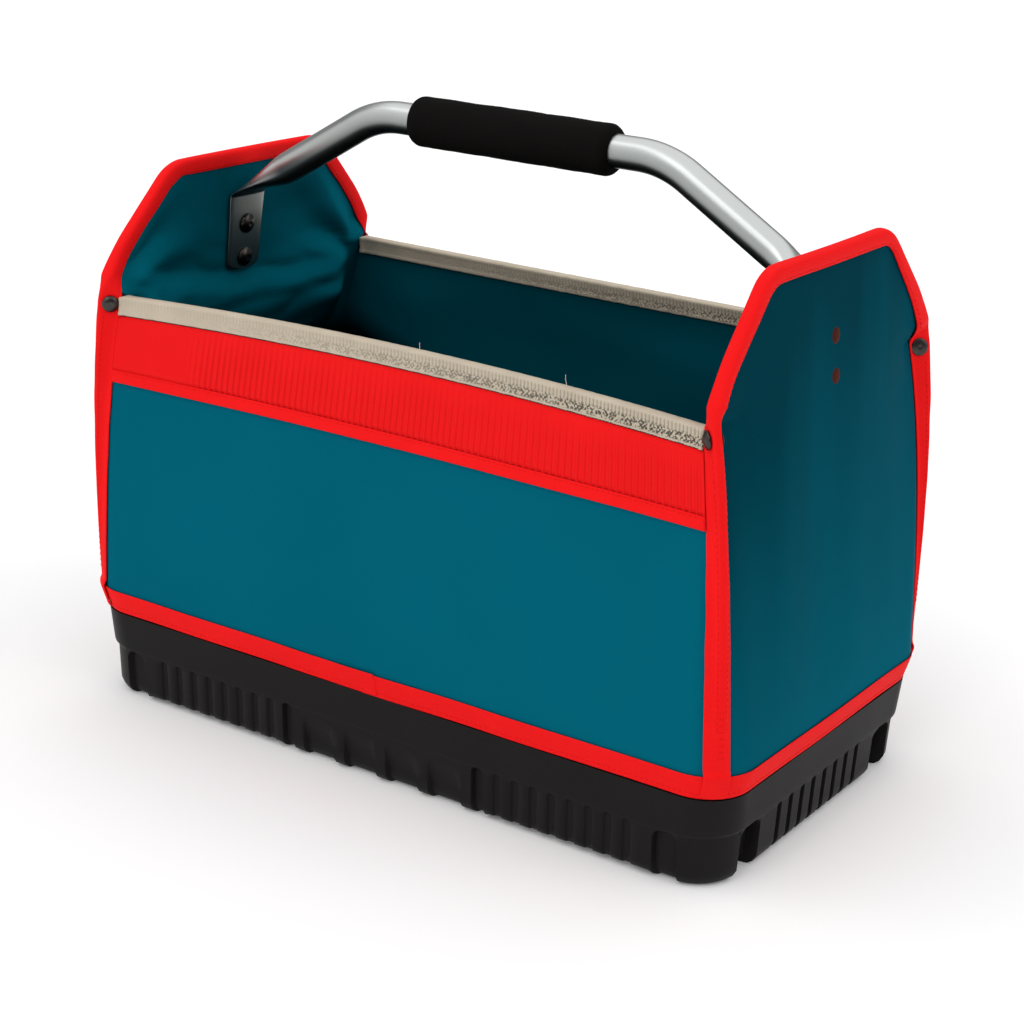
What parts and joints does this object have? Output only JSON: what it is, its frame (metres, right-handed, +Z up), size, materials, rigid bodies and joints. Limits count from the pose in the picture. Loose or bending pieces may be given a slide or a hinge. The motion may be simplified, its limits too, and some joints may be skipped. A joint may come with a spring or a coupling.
{
  "type": "tool bag",
  "caption": "Open-top rigid tool bag: moulded tray base, stiffened fabric walls with raised ends, bound edges and a bent tube handle with a foam grip",
  "frame": {"origin": "centre of the underside, on the surface the bag stands on", "axes": "X along the bag's length, Y across it from front to rear, Z up"},
  "size_m": [0.5068, 0.2764, 0.4165],
  "materials": {
    "tray_plastic": "satin black moulded plastic",
    "base_board": "dull black board",
    "teal_fabric": "coated woven cloth with a soft sheen",
    "teal_lining": "dark coated cloth",
    "stiffener": "plain dark sheet",
    "red_tape": "woven binding tape",
    "red_ribbed": "ribbed cloth",
    "beige_tape": "knitted edge tape",
    "rim_wire": "drawn wire",
    "handle_alloy": "satin alloy tube",
    "grip_foam": "matt closed cell foam",
    "dark_rivet": "dark gunmetal"
  },
  "bodies": {
    "root": {"base_tray": "tray_plastic", "base_board": "base_board", "front_panel": "teal_fabric", "front_stiffener": "stiffener", "front_lining": "teal_lining", "rear_panel": "teal_fabric", "rear_stiffener": "stiffener", "rear_lining": "teal_lining", "left_panel": "teal_fabric", "left_stiffener": "stiffener", "left_lining": "teal_lining", "right_panel": "teal_fabric", "right_stiffener": "stiffener", "right_lining": "teal_lining", "bottom_band": "red_tape", "left_binding": "red_tape", "right_binding": "red_tape", "front_rim_wire": "rim_wire", "front_rim_tape": "beige_tape", "front_ribbed_band": "red_ribbed", "front_band_hem": "red_tape", "rear_rim_wire": "rim_wire", "rear_rim_tape": "beige_tape", "rear_ribbed_band": "red_ribbed", "rear_band_hem": "red_tape", "handle_tube": "handle_alloy", "handle_grip": "grip_foam", "left_upper_handle_rivet": "dark_rivet", "left_lower_handle_rivet": "dark_rivet", "front_left_corner_rivet": "dark_rivet", "rear_left_corner_rivet": "dark_rivet", "right_upper_handle_rivet": "dark_rivet", "right_lower_handle_rivet": "dark_rivet", "front_right_corner_rivet": "dark_rivet", "rear_right_corner_rivet": "dark_rivet"}
  },
  "joints": []
}
